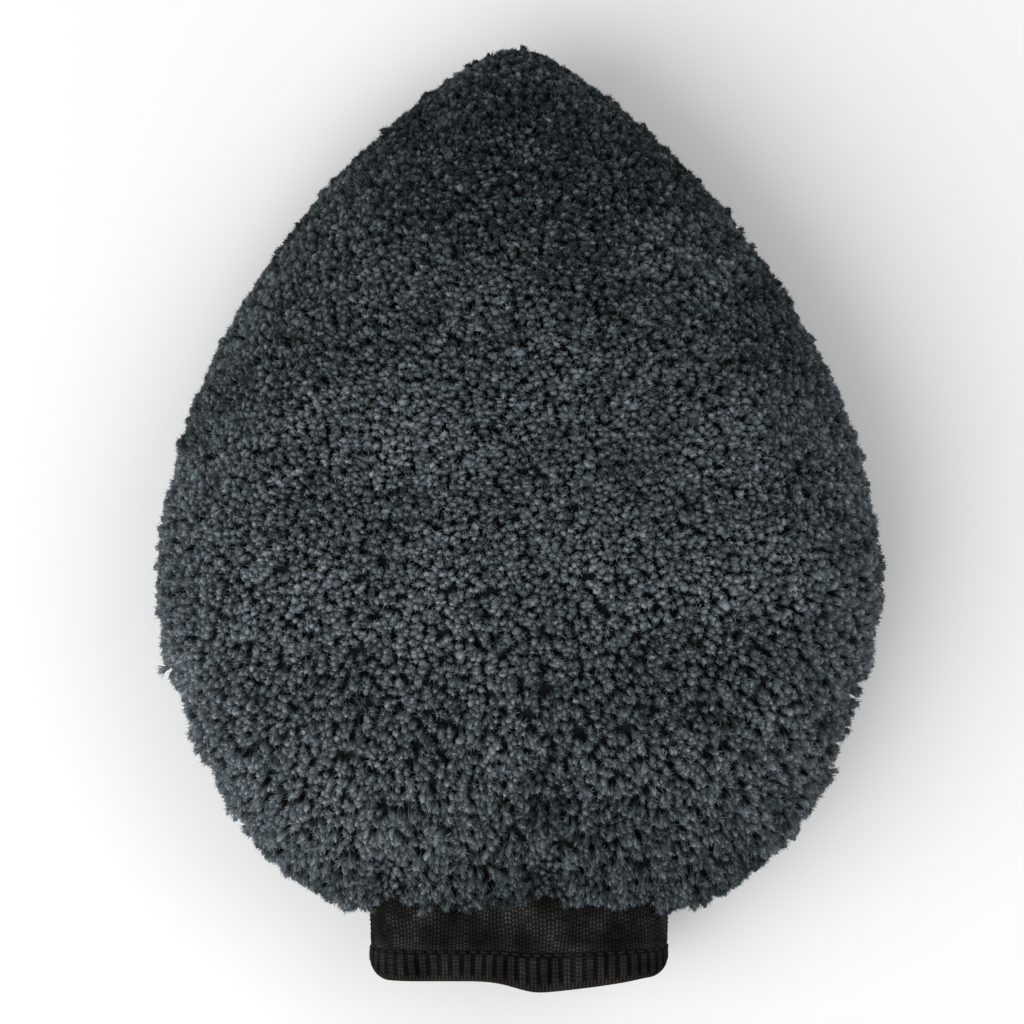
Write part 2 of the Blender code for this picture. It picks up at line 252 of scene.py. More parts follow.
def finished(piece, material, slot, *nodes):
    """Gives a piece its material and its place in the frame."""
    piece.data.materials.clear()
    piece.data.materials.append(material)
    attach(piece, "root")
    if nodes:
        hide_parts(*nodes)
    return piece


# ---- Materials ----------------------------------------------------------------------------------

def new_material(name, roughness, sheen=0.0, sheen_roughness=0.5, specular=0.2):
    """A material with one shader, its node tree and the shader."""
    material = bpy.data.materials.new(name)
    material.use_nodes = True
    shader = material.node_tree.nodes["Principled BSDF"]
    shader.inputs["Roughness"].default_value = roughness
    shader.inputs["Specular IOR Level"].default_value = specular
    shader.inputs["Sheen Weight"].default_value = sheen
    shader.inputs["Sheen Roughness"].default_value = sheen_roughness
    return material, material.node_tree, shader


def ramp(tree, source, stops):
    """A colour that runs through stops of (place, colour)."""
    node = tree.nodes.new("ShaderNodeValToRGB")
    while len(node.color_ramp.elements) < len(stops):
        node.color_ramp.elements.new(0.5)
    for element, (place, colour) in zip(node.color_ramp.elements, stops):
        element.position = place
        element.color = (*colour, 1)
    tree.links.new(source, node.inputs["Fac"])
    return node.outputs["Color"]


def multiplied(tree, first, second):
    """The product of two colours."""
    mix = tree.nodes.new("ShaderNodeMix")
    mix.data_type = "RGBA"
    mix.blend_type = "MULTIPLY"
    mix.inputs["Factor"].default_value = 1.0
    tree.links.new(first, mix.inputs["A"])
    tree.links.new(second, mix.inputs["B"])
    return mix.outputs["Result"]


def baked_channels(tree):
    """The two values that a mesh carries in its UV map."""
    place = tree.nodes.new("ShaderNodeUVMap")
    place.uv_map = BAKED_UV
    split = tree.nodes.new("ShaderNodeSeparateXYZ")
    tree.links.new(place.outputs["UV"], split.inputs["Vector"])
    return split.outputs["X"], split.outputs["Y"]


def pile_material():
    """Dyed microfibre: each tuft has its own tone, which also holds painted light and shade by place, and
    painted shade darkens it towards its root.
    """
    material, tree, shader = new_material("microfibre_pile", 0.85, 0.12, 0.4, 0.10)
    shader.inputs["Sheen Tint"].default_value = (0.55, 0.62, 0.68, 1)
    own_tone, own_height = baked_channels(tree)
    tone = ramp(tree, own_tone, (
        (0.0, (0.008, 0.011, 0.013)), (0.20, (0.030, 0.045, 0.048)), (0.34, (0.064, 0.069, 0.073)),
        (0.48, (0.080, 0.111, 0.115)), (0.62, (0.122, 0.136, 0.144)), (0.76, (0.124, 0.146, 0.184)),
        (0.88, (0.166, 0.212, 0.220)), (1.0, (0.255, 0.275, 0.305))))
    # Painted shade: a tuft darkens towards its root, by its height along the tuft.
    height = ramp(tree, own_height, ((0.28, (0.11, 0.11, 0.12)), (0.96, (1.0, 1.0, 1.0))))
    tree.links.new(multiplied(tree, tone, height), shader.inputs["Base Color"])
    return material


def knit_material():
    """Black rib yarn, a little warm, with painted light where a stitch stands up and painted shade, nearly
    black, between stitches.
    """
    material, tree, shader = new_material("rib_knit", 0.85, 0.03, 0.5, 0.03)
    shader.inputs["Sheen Tint"].default_value = (0.70, 0.66, 0.62, 1)
    own_tone, own_height = baked_channels(tree)
    yarn = ramp(tree, own_tone, ((0.0, (0.040, 0.0380, 0.0345)), (0.5, (0.070, 0.0665, 0.0615)),
                                 (1.0, (0.132, 0.126, 0.117))))
    # Painted shade and light: by the openness, nearly black between stitches and light on raised stitches.
    depth = ramp(tree, own_height, ((0.0, (0.02, 0.02, 0.02)), (0.5, (0.24, 0.24, 0.24)),
                                    (1.0, (1.0, 1.0, 1.0))))
    tree.links.new(multiplied(tree, yarn, depth), shader.inputs["Base Color"])
    return material


def cloth_material(name, dark, light, scale, roughness, weave):
    """Woven or felted cloth: two crossed waves for threads, or only a soft mottling."""
    material, tree, shader = new_material(name, roughness, 0.1, 0.5, 0.05)
    place = tree.nodes.new("ShaderNodeTexCoord")
    mottle = tree.nodes.new("ShaderNodeTexNoise")
    mottle.inputs["Scale"].default_value = scale
    mottle.inputs["Detail"].default_value = 6
    tree.links.new(place.outputs["Object"], mottle.inputs["Vector"])
    source = mottle.outputs["Fac"]
    for direction in weave:
        thread = tree.nodes.new("ShaderNodeTexWave")
        thread.bands_direction = direction
        thread.inputs["Scale"].default_value = scale
        thread.inputs["Distortion"].default_value = 0.6
        tree.links.new(place.outputs["Object"], thread.inputs["Vector"])
        mix = tree.nodes.new("ShaderNodeMath")
        mix.operation = "MULTIPLY_ADD"
        mix.inputs[1].default_value = 0.35
        tree.links.new(thread.outputs["Fac"], mix.inputs[0])
        tree.links.new(source, mix.inputs[2])
        source = mix.outputs[0]
    tree.links.new(ramp(tree, source, ((0.25, dark), (0.9, light))), shader.inputs["Base Color"])
    bump = tree.nodes.new("ShaderNodeBump")
    bump.inputs["Strength"].default_value = 0.4
    bump.inputs["Distance"].default_value = 0.0002
    tree.links.new(source, bump.inputs["Height"])
    tree.links.new(bump.outputs["Normal"], shader.inputs["Normal"])
    return material


# ---- Ground fabric ------------------------------------------------------------------------------

SKIN_ROWS = 120
SKIN_COLUMNS = 184
START_INSIDE = 0.0003          # the cloth starts this much smaller and swells
MOST_MOVE = 0.005              # no place on the cloth moves further than this
MOUTH_Y = FOOT_Y + FOOT_REACH - SKIN_OFFSET
MOUTH_INSET = -0.0008          # the fabric's mouth lies this far outside the cuff
GROUND_THICKNESS = 0.0007
HELD_ROWS = 2                  # rows at the cuff that the cloth is held by
LOOSE_FROM, LOOSE_OVER = 0.70, 0.25     # share of the rows where the cloth starts to swell more
LEAST_LOOSE = 0.02
LAST_FRAME = 20
CLOTH = dict(quality=5, mass=0.15, tension_stiffness=12, compression_stiffness=12, shear_stiffness=4,
             bending_stiffness=0.3, air_damping=2, use_pressure=True, uniform_pressure_force=4,
             vertex_group_mass="held", vertex_group_shrink="full", shrink_min=-0.01, shrink_max=-0.22)


def puffed(points, quads, pinned, loose):
    """The same points after the fabric has been blown up as cloth, held at the cuff."""
    scene = bpy.context.scene
    body = mesh_object("fabric_simulation", points, quads.ravel(), np.full(len(quads), 4))
    held = body.vertex_groups.new(name="held")
    held.add([int(k) for k in pinned], 1.0, "REPLACE")
    full = body.vertex_groups.new(name="full")
    for number in np.flatnonzero(loose > LEAST_LOOSE):
        full.add([int(number)], float(loose[number]), "REPLACE")
    cloth = body.modifiers.new("cloth", "CLOTH")
    for setting, value in CLOTH.items():
        setattr(cloth.settings, setting, value)
    cloth.settings.effector_weights.gravity = 0
    cloth.collision_settings.use_collision = False
    cloth.point_cache.frame_start = 1
    cloth.point_cache.frame_end = LAST_FRAME
    for number in range(1, LAST_FRAME + 1):
        scene.frame_set(number)
    swollen = body.evaluated_get(bpy.context.evaluated_depsgraph_get()).to_mesh()
    moved = np.empty(len(points) * 3, np.float32)
    swollen.vertices.foreach_get("co", moved)
    step = moved.reshape(-1, 3) - points
    scene.frame_set(1)
    bpy.data.objects.remove(body)
    far = np.linalg.norm(step, axis=1, keepdims=True)
    return points + step * np.minimum(1, MOST_MOVE / np.maximum(far, 1e-9))


def ground_fabric():
    """The knitted ground that carries the tufts, as a grid of points from tip to cuff."""
    grid = sock(SKIN_ROWS, SKIN_COLUMNS, SKIN_OFFSET - START_INSIDE, MOUTH_Y, MOUTH_INSET)
    points = grid.reshape(-1, 3)
    quads = grid_faces(SKIN_ROWS, SKIN_COLUMNS, True)
    row = np.repeat(np.arange(SKIN_ROWS), SKIN_COLUMNS)
    points = puffed(points, quads, np.flatnonzero(row >= SKIN_ROWS - HELD_ROWS),
                    smooth((row / SKIN_ROWS - LOOSE_FROM) / LOOSE_OVER))
    points[:, 2] = np.maximum(points[:, 2], FLOOR_Z + SKIN_CLEAR_OF_FLOOR)
    return points.reshape(grid.shape), quads


def ground_pieces(grid, material):
    """The palm's and the back's ground fabric, each sewn to the other along the outline."""
    half = SKIN_COLUMNS // 2
    for panel, columns in (("palm", np.arange(half + 1)), ("back", np.arange(half, SKIN_COLUMNS + 1))):
        own = grid[:, columns % SKIN_COLUMNS]
        piece = shell(f"{panel}_ground_fabric", own.reshape(-1, 3),
                      grid_faces(SKIN_ROWS, len(columns), False), GROUND_THICKNESS)
        finished(piece, material, "microfibre_pile", f"{panel}_pile_panel")


# ---- Tufts --------------------------------------------------------------------------------------

SKIN_SAMPLES = 235000
TUFT_SPACING = 0.00123
TUFT_LENGTH, SLACK_LONGER = 0.0048, 0.0010
FIBRES = 12                    # fibres that stand out of each head
FIBRE_SIDES = 3
HEAD_SIDES = 6
HEAD_LEVELS = np.array([0.15, 0.78, 0.94, 1.0])     # share of the tuft's length at each ring and the end
ROUND_HEAD = np.array([0.55, 1.00, 0.72])           # share of the head's radius at each ring, firm
SLACK_HEAD = np.array([0.55, 0.92, 0.52])           # the same near the cuff
HEAD_RADIUS = 0.00088
FIBRE_RADIUS = 0.00027
BEND = 1.6                     # power by which a tuft's lean grows along it
GOLDEN_ANGLE = 2.39996
ANY_TURN = 6.28
NOTCHES = ((-0.0355, 0.62), (0.0075, 0.72))      # across, share of length lost where the plush parts
NOTCH_WIDTH = 0.0045
CLUMP_FIRM, CLUMP_SLACK = 0.0022, 0.0036         # least distance between clumps of tufts
CLUMP_PULL, SLACK_PULL = 0.34, 0.19              # how much of the way to its clump's middle a tuft leans
CLUMP_SHAPE = (1.6, 0.80)      # stretch along the mitt when clumps are spaced: above a bend, below it
BASE_TONE = 0.62
FLOOR_GAP, FLOOR_SPREAD = 0.0003, 0.0006         # height of flattened fibres: least, and spread above it
FACES_PER_PIECE = 190000


def eased(value, start, width):
    """How far a value has come from a start across a width, from 0 to 1."""
    return np.clip((value - start) / width, 0, 1)


def way_down(places):
    """Share of the way from the tip to the foot of the pile."""
    return np.clip((TIP_Y - places[:, 1]) / (TIP_Y - FOOT_Y), 0, 1)


def triangle_samples(points, triangles, count):
    """Random places on a triangle mesh, evenly by area, with their smooth normals."""
    a, b, c = (points[triangles[:, k]] for k in range(3))
    cross = np.cross(b - a, c - a)
    area = np.linalg.norm(cross, axis=1) / 2
    normals = np.zeros_like(points)
    for k in range(3):
        np.add.at(normals, triangles[:, k], cross)
    normals /= np.linalg.norm(normals, axis=1, keepdims=True)
    picked = rng.choice(len(triangles), count, p=area / area.sum())
    u, v = rng.random(count), rng.random(count)
    flip = u + v > 1
    u[flip], v[flip] = 1 - u[flip], 1 - v[flip]
    weights = np.stack([1 - u - v, u, v], axis=1)
    corners = triangles[picked]
    places = np.einsum("nk,nkd->nd", weights, points[corners])
    facing = np.einsum("nk,nkd->nd", weights, normals[corners])
    return places, facing / np.linalg.norm(facing, axis=1, keepdims=True)


def thinned(places, spacing):
    """Indices of places kept so that none is closer to another than its spacing."""
    tree = kdtree.KDTree(len(places))
    for number, place in enumerate(places):
        tree.insert(place, number)
    tree.balance()
    free = np.ones(len(places), bool)
    kept = []
    for number, place in enumerate(places):
        if free[number]:
            kept.append(number)
            for _, other, _ in tree.find_range(place, spacing[number]):
                free[other] = False
    return np.array(kept)


def clumped(places, candidates):
    """For each tuft, the way to the middle of the clump it leans into, and the clump's number."""
    def stretched(spots):
        bend = FOOT_Y + 0.10
        upper, lower = CLUMP_SHAPE
        y = np.where(spots[:, 1] > bend, upper * spots[:, 1], upper * bend + lower * (spots[:, 1] - bend))
        return np.stack([spots[:, 0], y, spots[:, 2]], axis=1)

    down = way_down(candidates)
    spots = stretched(candidates)
    middles = thinned(spots, CLUMP_FIRM + (CLUMP_SLACK - CLUMP_FIRM) * smooth((down - 0.45) / 0.40))
    tree = kdtree.KDTree(len(middles))
    for number, middle in enumerate(middles):
        tree.insert(spots[middle], number)
    tree.balance()
    clump = np.array([tree.find(spot)[1] for spot in stretched(places)])
    return candidates[middles][clump] - places, clump


def patches(places, scale, seed):
    """Smooth random values from -1 to 1 with features of about one scale, by summed waves."""
    waves = np.random.default_rng(seed)
    total = np.zeros(len(places))
    for _ in range(12):
        direction = waves.normal(size=3)
        direction /= np.linalg.norm(direction)
        total += np.sin(places @ direction * 2 * math.pi / (scale * waves.uniform(0.7, 1.5))
                        + waves.uniform(0, 2 * math.pi))
    return np.clip(total / 4.5, -1, 1)


def tuft_settings(places, facing, pull, clump):
    """Each tuft's length, lean, slackness and tone, from where it grows; the tone also holds painted shade
    and light by place.
    """
    down = way_down(places)
    slack = eased(down, 0.50, 0.45)
    length = TUFT_LENGTH + SLACK_LONGER * slack
    length *= 1 + 0.06 * patches(places, 0.012, 3) + rng.normal(0, 0.09, len(places))
    shared = np.random.default_rng(21).normal(0, 1, (clump.max() + 1, 2))[clump]
    apart = np.linalg.norm(pull, axis=1)
    length *= 1 + 0.06 * np.clip(shared[:, 0], -2, 2) + 0.05 - 0.16 * np.clip(apart / CLUMP_FIRM, 0, 1) ** 2
    sideways = np.abs(facing[:, 0]) ** 2 * np.clip(3 * down - 1.0, 0, 1)
    length += sideways * (0.0004 + 0.0007 * (facing[:, 0] > 0) + 0.0005 * np.clip(shared[:, 0], -1.5, 2))
    lean = np.zeros_like(places)
    lean[:, 1] = -0.04 - 0.26 * slack
    lean[:, 0] = 0.12 * slack * places[:, 0] / HALF_WIDTH
    lean += pull * ((CLUMP_PULL + SLACK_PULL * slack) / length)[:, None]
    lean[:, 0] += 0.08 * patches(places, 0.020, 4)
    lean[:, 1] += 0.08 * patches(places, 0.020, 5)
    lean[:, 0] += 0.22 * slack * patches(places, 0.009, 7)
    lean[:, 1] += 0.22 * slack * patches(places, 0.009, 8)
    lean += rng.normal(0, 1, places.shape) * (0.15 + 0.08 * slack[:, None])
    lean -= facing * np.sum(lean * facing, axis=1, keepdims=True)
    pressed = np.clip((SEAM_Z - 0.012 - places[:, 2]) / 0.012, 0, 1)
    outward = places - np.array([*CORE.middle, 0.0])
    outward[:, 2] = 0
    outward /= np.maximum(np.linalg.norm(outward, axis=1, keepdims=True), 1e-6)
    lean += outward * pressed[:, None] * 0.8
    at_foot = np.clip((FOOT_Y + 0.024 - places[:, 1]) / 0.008, 0, 1)
    for across, cut in NOTCHES:
        beside = (places[:, 0] - across) / NOTCH_WIDTH
        length *= 1 - cut * at_foot * np.exp(-beside ** 2)
        lean[:, 0] += 0.9 * at_foot * beside * np.exp(-beside ** 2)
    # Painted shade darkens the tufts at the tip and at the foot; painted light lightens the lower left and
    # the lower sides, and painted shade darkens the lower middle.
    painted_end_shade = 0.4 * eased(down, 0.82, 0.12) + 1.3 * np.clip((0.51 - down) / 0.43, 0, 1)
    low = np.clip(2 * down - 0.8, 0, 1)
    painted_low_light_and_shade = np.clip(-places[:, 0] / HALF_WIDTH, -0.1, 1) * low
    painted_low_light_and_shade += 0.25 * low * np.clip(3 * np.abs(places[:, 0]) / HALF_WIDTH - 1, -1, 0.6)
    tone = (BASE_TONE - 0.37 * painted_end_shade + 0.22 * painted_low_light_and_shade + 0.13 * patches(places, 0.030, 6)
            + 0.10 * patches(places, 0.008, 9))
    tone += 0.06 * shared[:, 1]
    tone += rng.normal(0, 0.14, len(places))
    return length, lean, slack, np.clip(tone, 0.02, 0.98)


def tubes(spine, reference, radii, twist):
    """Closed tapering tubes: a ring at each point of a spine but its last, which is the tube's end."""
    count, levels = len(spine), spine.shape[1] - 1
    sides = radii.shape[2]
    along = np.gradient(spine, axis=1)[:, :levels]
    along /= np.linalg.norm(along, axis=2, keepdims=True)
    side = np.cross(np.broadcast_to(reference[:, None], along.shape), along)
    side /= np.linalg.norm(side, axis=2, keepdims=True)
    other = np.cross(along, side)
    angle = twist[:, None, None, None] + np.arange(sides)[:, None] * 2 * math.pi / sides
    ring = side[:, :, None] * np.cos(angle) + other[:, :, None] * np.sin(angle)
    rings = spine[:, :levels, None] + ring * radii[..., None]
    points = np.concatenate([rings.reshape(count, -1, 3), spine[:, levels:]], axis=1)
    k = np.arange(sides)
    following = (k + 1) % sides
    low = np.arange(0, (levels - 1) * sides, sides)[:, None]
    quads = np.stack([low + k, low + following, low + sides + following, low + sides + k], -1).reshape(-1, 4)
    top = (levels - 1) * sides
    caps = np.stack([top + k, top + following, np.full(sides, levels * sides)], 1)
    pattern = np.concatenate([quads.ravel(), caps.ravel(), k[::-1]])
    sizes = np.array([4] * len(quads) + [3] * sides + [sides])
    corners = pattern[None] + np.arange(count)[:, None] * (levels * sides + 1)
    return points.reshape(-1, 3), corners.ravel(), np.tile(sizes, count)


def tufts(name, places, facing, pull, clump):
    """Tufts of split fibre: a lumpy head on each, with single fibres standing out of it."""
    count = len(places)
    length, lean, slack, tone = tuft_settings(places, facing, pull, clump)
    helper = np.where(np.abs(facing[:, 2:]) < 0.9, [[0.0, 0.0, 1.0]], [[0.0, 1.0, 0.0]])
    side = np.cross(helper, facing)
    side /= np.linalg.norm(side, axis=1, keepdims=True)
    other = np.cross(facing, side)

    def spines(own_length, levels, own_facing, own_lean, start):
        s = levels[None, :, None]
        return (start[:, None] + own_facing[:, None] * own_length[:, None, None] * s
                + own_lean[:, None] * own_length[:, None, None] * s ** BEND)

    profile = ROUND_HEAD + (SLACK_HEAD - ROUND_HEAD) * slack[:, None]
    twist = rng.uniform(0, ANY_TURN, count)
    turned = (twist + rng.normal(0, 0.5, count))[:, None] + np.arange(HEAD_SIDES) * 2 * math.pi / HEAD_SIDES
    oval = (0.34 * (1 - 1.5 * slack[:, None]) * np.cos(2 * turned))[:, None]
    lumps = 1 + oval + np.clip(rng.normal(0, 0.22, (count, 3, HEAD_SIDES)), -0.45, 0.5)
    size = HEAD_RADIUS * (1 + np.clip(rng.normal(0, 0.16, (count, 1, 1)), -0.35, 0.4))
    head_points, head_corners, head_sizes = tubes(spines(length, HEAD_LEVELS, facing, lean, places), other,
                                                  size * profile[..., None] * lumps, twist)
    head_points += rng.normal(0, 0.00009, head_points.shape)
    head_u = tone[:, None] + rng.normal(0, 0.22, (count, 3 * HEAD_SIDES + 1))
    # The head's v sets its painted shade: darkest at the lowest ring, lightest at the end.
    head_v = np.concatenate([np.repeat(HEAD_LEVELS[:3], HEAD_SIDES), [1.0]])

    owner = np.repeat(np.arange(count), FIBRES)
    many = len(owner)
    turn = np.tile(np.arange(FIBRES), count) * GOLDEN_ANGLE + rng.uniform(0, ANY_TURN, count)[owner]
    out = np.sqrt((np.tile(np.arange(FIBRES), count) + 0.4) / FIBRES) * rng.uniform(0.7, 1.1, many)
    disc = side[owner] * np.cos(turn)[:, None] + other[owner] * np.sin(turn)[:, None]
    start = (places[owner] + facing[owner] * (0.74 * length[owner])[:, None]
             + lean[owner] * (0.62 * length[owner])[:, None] + disc * (out * HEAD_RADIUS * 0.88)[:, None])
    aim = facing[owner] + lean[owner] + disc * (0.85 * out)[:, None] + rng.normal(0, 0.28, (many, 3))
    aim /= np.linalg.norm(aim, axis=1, keepdims=True)
    reach = 0.28 * length[owner] + rng.uniform(0.0001, 0.0010, many) - 0.0006 * out ** 2
    radii = FIBRE_RADIUS * rng.uniform(0.6, 1.2, (many, 1, FIBRE_SIDES))
    fibre_points, fibre_corners, fibre_sizes = tubes(
        np.stack([start, start + aim * reach[:, None]], axis=1), other[owner], radii,
        rng.uniform(0, ANY_TURN, many))
    fibre_u = (tone[owner] + rng.normal(0.04, 0.19, many))[:, None] + 0.01 * np.arange(FIBRE_SIDES + 1)
    # Each fibre's v sets its painted shade: its sides are darker than its end.
    fibre_v = np.array([0.50] * FIBRE_SIDES + [1.0])

    points = np.concatenate([head_points, fibre_points])
    points[:, 2] = np.maximum(points[:, 2], FLOOR_Z + FLOOR_GAP + FLOOR_SPREAD * rng.random(len(points)))
    corners = np.concatenate([head_corners, fibre_corners + len(head_points)])
    sizes = np.concatenate([head_sizes, fibre_sizes])
    u = np.concatenate([head_u.ravel(), fibre_u.ravel()])
    v = np.concatenate([np.tile(head_v, count), np.tile(fibre_v, many)])
    uv = np.stack([np.clip(u, 0.005, 0.995), v * 0.98 + 0.01], axis=-1)
    return mesh_object(name, points, corners, sizes, uv, rounded=np.arange(len(sizes)) < len(head_sizes))


def pile(grid, quads, material):
    """The tufts of both panels, in pieces from the tip down to the cuff, by panel."""
    ring = np.arange(SKIN_COLUMNS)
    points = np.concatenate([grid.reshape(-1, 3), grid[0].mean(axis=0, keepdims=True)])
    triangles = np.concatenate([quads[:, [0, 1, 2]], quads[:, [0, 2, 3]],
                                np.stack([np.full(SKIN_COLUMNS, len(points) - 1), ring,
                                          (ring + 1) % SKIN_COLUMNS], 1)])
    candidates, facing = triangle_samples(points, triangles, SKIN_SAMPLES)
    spacing = TUFT_SPACING * (0.97 + 0.08 * np.clip((TIP_Y - candidates[:, 1]) / 0.25, 0, 1))
    spacing[candidates[:, 2] < FLOOR_Z + SKIN_CLEAR_OF_FLOOR * 1.5] *= 1.35    # sparser under the mitt
    kept = thinned(candidates, spacing)
    places, facing = candidates[kept], facing[kept]
    pull, clump = clumped(places, candidates)
    palm = places[:, 2] > SEAM_Z
    head_faces = 2 * HEAD_SIDES * 2 + HEAD_SIDES + HEAD_SIDES - 2     # counted as triangles
    most = FACES_PER_PIECE // (head_faces + FIBRES * (FIBRE_SIDES + 1))
    made = {"palm": [], "back": []}
    for panel, chosen in (("palm", palm), ("back", ~palm)):
        order = np.flatnonzero(chosen)
        order = order[np.argsort(-places[order, 1])]
        for number, part in enumerate(np.array_split(order, math.ceil(len(order) / most))):
            piece = tufts(f"{panel}_pile_{number + 1}", places[part], facing[part], pull[part], clump[part])
            made[panel].append(finished(piece, material, "microfibre_pile", f"{panel}_pile_panel"))
    return made


# ---- Cuff ---------------------------------------------------------------------------------------

CUFF_COLUMNS_PALM = 380
CUFF_COLUMNS_BACK = 200
WALE = 0.0020                  # across one column of stitches above the hem
COURSE = 0.00125               # down one row of them
RIB = 0.00315                  # across one rib of the hem
RIB_COURSE = 0.0013
CORNER = 0.0042                # radius of the cuff's rounded lower corners
FOLD = 0.0066                  # across one soft fold of the knit above the hem
SELVEDGE = 0.00105             # across one loop of the hem's lower edge
INNER_STITCH = 0.0026          # across and down one stitch of the cuff's inner face
WAVE_GONE = 0.0165             # height at which the lower edge's wave is gone
HEM_STITCH = 0.0030            # from one stitch of the hem's thread to the next
THREAD_RADIUS = 0.00028
THREAD_SUNK = 0.0004           # middle of the hem's thread below the cuff's outer face
KNIT_ROW = 0.00027             # between rows of points on the cuff's outer face
EDGE_LIFT = 0.0006             # lowest place of the lower edge, above the CAD cuff's


def hem_rise(across):
    """How far the wavy lower edge lies above the CAD cuff's lower edge."""
    fine = np.linspace(-0.046, 0.046, 185)
    known = np.array([-0.044, -0.0112, -0.0054, 0.0003, 0.0046, 0.0117, 0.0232, 0.0375, 0.044])
    rise = np.array([0.0034, 0.0034, 0.0028, 0.0011, 0.0, 0.0006, 0.0020, 0.0043, 0.0043])
    wave = np.convolve(np.pad(np.interp(fine, known, rise), 6, mode="edge"), np.full(13, 1 / 13), "valid")
    beyond = np.clip(np.abs(across) - (CUFF_HIGH.x - CORNER), 0, CORNER * 0.98)
    return EDGE_LIFT + np.interp(across, fine, wave) + CORNER - np.sqrt(CORNER ** 2 - beyond ** 2)


def settled(above):
    """Share of the lower edge's wave that is left at a height above it."""
    return np.clip(1 - above / WAVE_GONE, 0, 1)


def cuff_shares():
    """Places round the cuff, closer together on the palm side than on the back."""
    return np.concatenate([np.linspace(0, 0.5, CUFF_COLUMNS_PALM, endpoint=False),
                           np.linspace(0.5, 1, CUFF_COLUMNS_BACK, endpoint=False)])


def stitches(across, down, wale, course, narrow):
    """Height of knitted stitches from 0 to 1: two slanting legs in each column."""
    leg = np.abs((across / wale) % 1 - 0.5) / narrow
    slope = down / course + 0.75 * leg + 0.5 * (np.floor(across / wale) % 2)
    bead = 0.5 + 0.5 * np.cos(2 * math.pi * slope)
    # A fixed random value for each stitch.
    cell = np.sin(12.9898 * np.floor(across / wale) + 78.233 * np.floor(slope)) * 43758.5
    uneven = 0.50 + 0.50 * (cell - np.floor(cell))
    return np.clip(np.sin(math.pi * np.clip(leg, 0, 0.5) * 2), 0, 1) ** 0.8 * (0.30 + 0.70 * bead) * uneven


def knit_relief(around, above):
    """Height of the cuff's outer face, and how open to the light each place is, from 0 to 1, for painted
    shade.
    """
    places = np.stack([around, above, np.zeros_like(around)], axis=-1).reshape(-1, 3)
    drift = 0.0004 * patches(places, 0.016, 11).reshape(around.shape)
    loose = patches(places, 0.011, 12).reshape(around.shape)
    fine = stitches(around + drift, above + 0.5 * drift, WALE, COURSE, 1.0)
    fold = 0.5 + 0.5 * np.cos(2 * math.pi * (around + 2.5 * drift) / FOLD)
    jersey = 0.00010 + 0.00045 * fine + 0.00040 * fold * (0.6 + 0.4 * loose)
    rib_across = np.abs(((around + 0.6 * drift) / RIB) % 1 - 0.5)
    rib = 1 - smooth((rib_across - 0.17) / 0.26)
    bead = stitches(around + 0.6 * drift, above + drift, RIB, RIB_COURSE, 0.66)
    ribs = 0.00050 * rib + 0.00055 * bead * rib
    in_hem = 1 - smooth((above - STITCH_ABOVE_HEM + 0.0012) / 0.0010)
    above_hem = smooth((above - STITCH_ABOVE_HEM - 0.0002) / 0.0010)
    edge = 1 - smooth((above - 0.0021) / 0.0008)
    loops = np.cos(2 * math.pi * around / SELVEDGE)
    selvedge = 0.0003 + 0.0003 * loops
    relief = jersey * above_hem + (ribs * (1 - edge) + selvedge * edge) * in_hem - 0.0005
    # The openness is painted shade and light: dark in the grooves between ribs and stitches, light on raised
    # stitches, folds and edge loops, with some random mottling.
    across_rib = 0.5 + 0.5 * np.cos(2 * math.pi * (above + 0.5 * drift) / RIB_COURSE)
    open_hem = rib * (0.22 + 0.64 * bead) + (1 - rib) * 0.34 * across_rib * (0.7 + 0.5 * loose)
    open_jersey = fine * (0.85 + 0.25 * fold + 0.30 * loose)
    openness = open_jersey * above_hem + (open_hem * (1 - edge) + (0.38 + 0.24 * loops) * edge) * in_hem
    return relief, np.clip(openness + 0.10 * loose, 0, 1)


